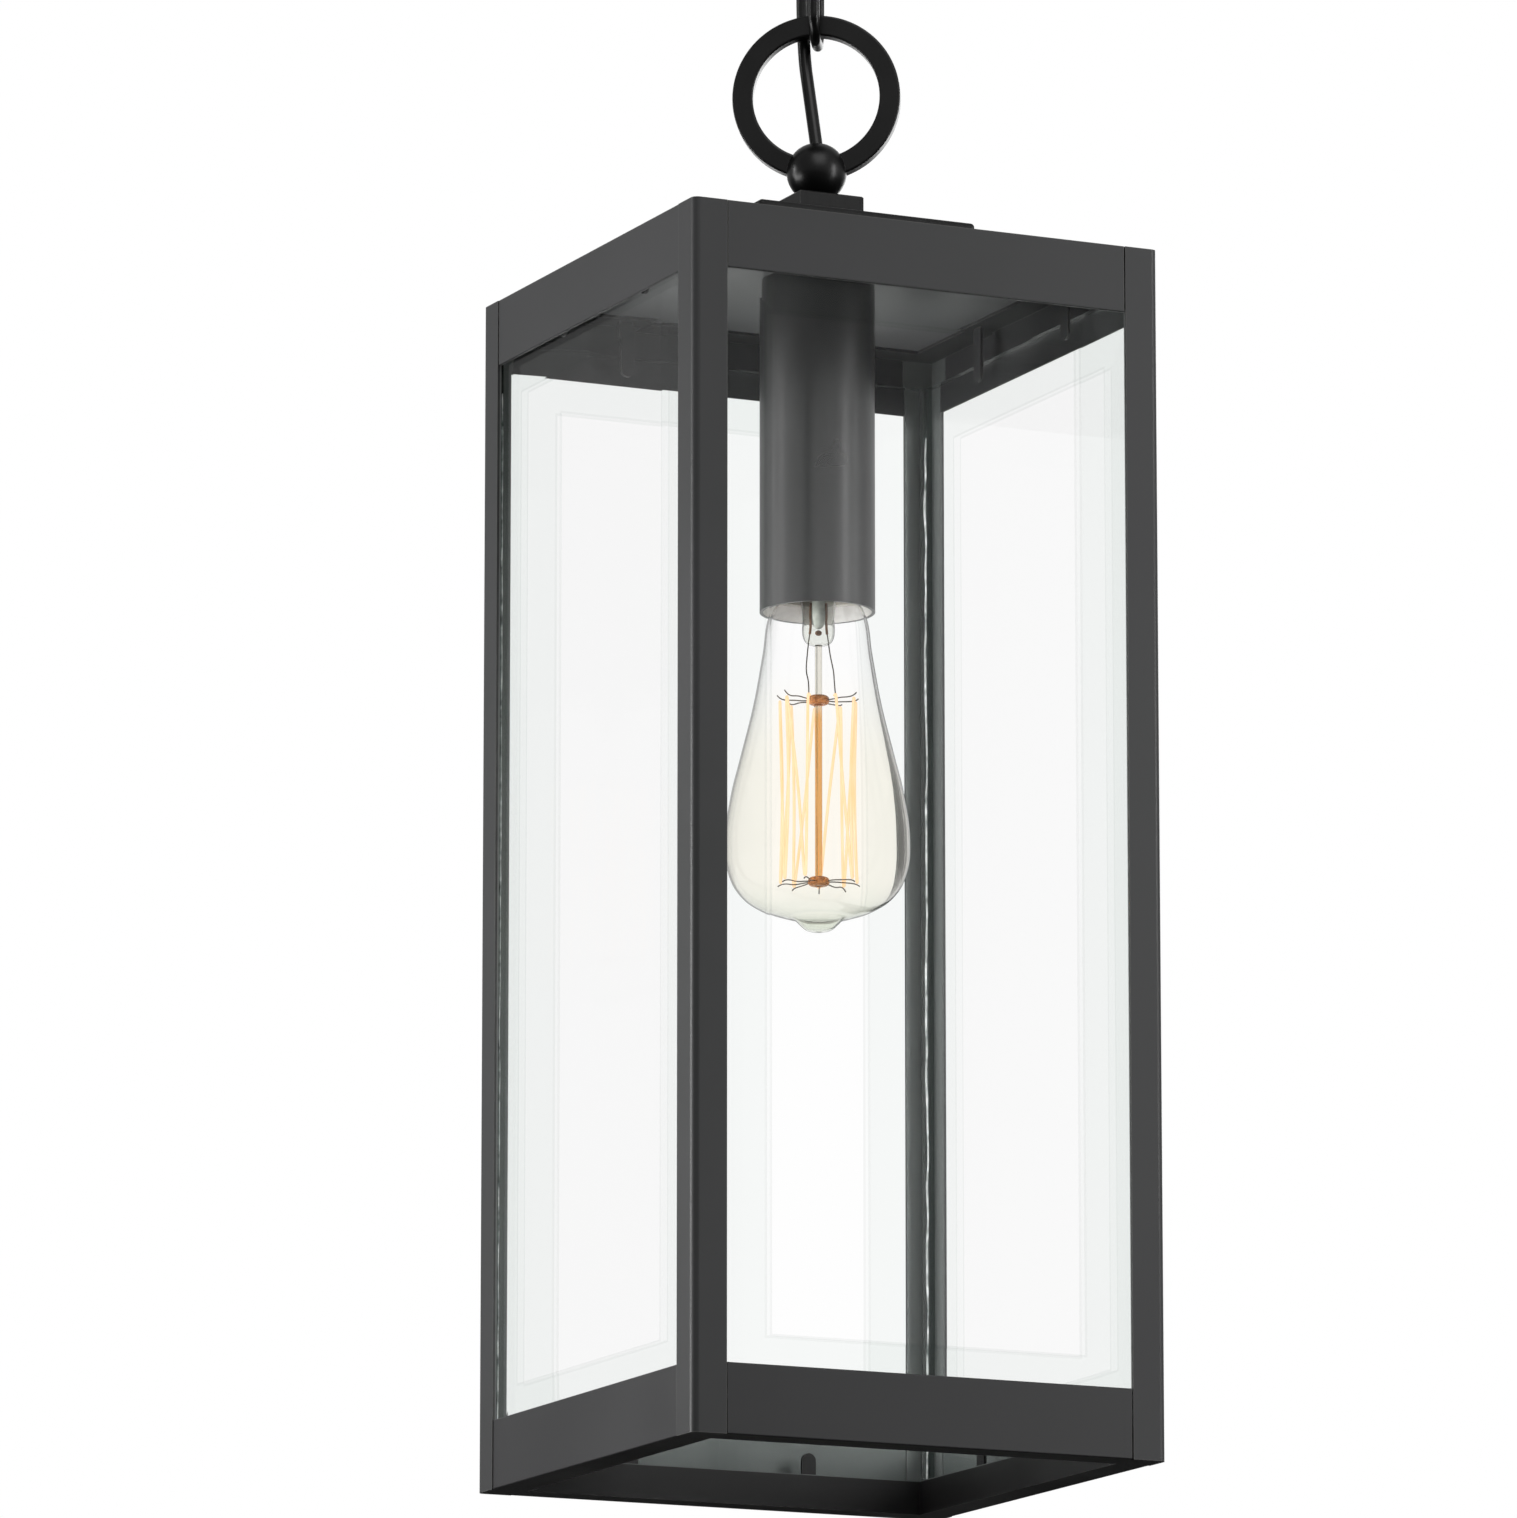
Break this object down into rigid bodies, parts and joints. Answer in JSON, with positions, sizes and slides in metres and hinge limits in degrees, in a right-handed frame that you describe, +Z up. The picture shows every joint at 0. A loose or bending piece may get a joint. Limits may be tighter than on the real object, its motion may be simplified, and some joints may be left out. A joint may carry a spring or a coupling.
{
  "type": "hanging lantern",
  "caption": "Tall square hanging lantern with bevelled clear panes in a dark metal frame, a long-filament bulb, and a ring, chain and canopy.",
  "frame": {"origin": "centre of the mounting strap's two screw holes, in the ceiling plane", "axes": "+Z up out of the ceiling side; +X along the strap and the front face; +Y from the front face to the back"},
  "size_m": [0.1778, 0.1778, 0.6413],
  "materials": {
    "frame_paint": "satin dark grey powder coat",
    "black_hardware": "satin black paint on cast and bent metal",
    "clear_pane": "clear float glass, polished bevels",
    "dark_clip": "satin black paint",
    "zinc_steel": "zinc plated steel",
    "green_screw": "green earth screw",
    "cord_sheath": "black flexible sheath",
    "lead_insulation": "pale wire insulation",
    "terminal_plastic": "moulded white terminal block",
    "contact_brass": "stamped brass",
    "cap_steel": "pressed steel",
    "porcelain": "glazed white porcelain",
    "bulb_clear_glass": "thin blown glass",
    "bulb_cap_metal": "rolled aluminium screw cap",
    "solder": "solder button",
    "black_vitrite": "black glass insulator",
    "copper_hub": "copper coloured bead",
    "support_wire": "fine drawn wire",
    "hot_filament": "glowing filament"
  },
  "bodies": {
    "ceiling": {"mounting_strap": "zinc_steel", "strap_nipple": "zinc_steel", "nipple_locknut": "zinc_steel", "terminal_block": "terminal_plastic", "terminal_screws": "contact_brass", "earth_screw": "green_screw", "canopy_leads": "lead_insulation", "ceiling_canopy": "frame_paint", "canopy_collar": "frame_paint", "canopy_loop": "black_hardware", "canopy_cord": "cord_sheath", "cord_upper": "cord_sheath"},
    "upper_link": {"chain_link_upper": "black_hardware", "cord_middle": "cord_sheath"},
    "lower_link": {"chain_link_lower": "black_hardware"},
    "bulb_base": {"bulb_contact": "solder"},
    "bulb": {"bulb_glass": "bulb_clear_glass", "bulb_cap": "bulb_cap_metal", "bulb_insulator": "black_vitrite", "bulb_stem": "bulb_clear_glass", "bulb_arbor": "bulb_clear_glass", "bulb_hubs": "copper_hub", "bulb_support_wires": "support_wire", "bulb_filament": "hot_filament", "bulb_lead_wires": "support_wire"},
    "lantern": {"post_front_left": "frame_paint", "post_front_right": "frame_paint", "post_back_right": "frame_paint", "post_back_left": "frame_paint", "top_rail_front": "frame_paint", "top_rail_right": "frame_paint", "top_rail_back": "frame_paint", "top_rail_left": "frame_paint", "bottom_rail_front": "frame_paint", "bottom_rail_right": "frame_paint", "bottom_rail_back": "frame_paint", "bottom_rail_left": "frame_paint", "roof_plate": "frame_paint", "roof_tier": "frame_paint", "neck_block": "frame_paint", "socket_tube": "frame_paint", "hanging_ring": "black_hardware", "ring_ball": "black_hardware", "glass_front": "clear_pane", "glass_right": "clear_pane", "glass_back": "clear_pane", "glass_left": "clear_pane", "bottom_glass_tabs": "dark_clip", "top_glass_clips": "dark_clip", "stem_nipple": "zinc_steel", "tube_nut": "zinc_steel", "cord_lower": "cord_sheath", "stem_cord": "cord_sheath", "holder_leads": "lead_insulation", "screw_shell": "contact_brass", "centre_contact": "contact_brass", "holder_cap": "cap_steel", "holder_body": "porcelain"}
  },
  "joints": [
    {"name": "upper_link_swing", "type": "hinge", "parent": "ceiling", "child": "upper_link", "pos_m": [0, 0, -0.069], "axis": [0.5, 0.866, 0], "range_deg": [-25, 25], "deforming": ["cord_upper"]},
    {"name": "lower_link_swing", "type": "hinge", "parent": "upper_link", "child": "lower_link", "pos_m": [0, 0, -0.0996], "axis": [0.866, -0.5, 0], "range_deg": [-30, 30], "deforming": ["cord_middle"]},
    {"name": "lantern_swing", "type": "hinge", "parent": "lower_link", "child": "lantern", "pos_m": [0, 0, -0.1313], "axis": [0.5, 0.866, 0], "range_deg": [-30, 30], "deforming": ["cord_lower"]},
    {"name": "bulb_drop", "type": "slide", "parent": "lantern", "child": "bulb_base", "axis": [0, 0, -1], "range_m": [0, 0.01815]},
    {"name": "bulb_unscrew", "type": "hinge", "parent": "bulb_base", "child": "bulb", "pos_m": [0, 0, -0.3038], "axis": [0, 0, -1], "range_deg": [0, 1800]}
  ],
  "couplings": [
    {"joint": "bulb_drop", "follows": "bulb_unscrew", "m_per_rad": 0.00057757}
  ]
}
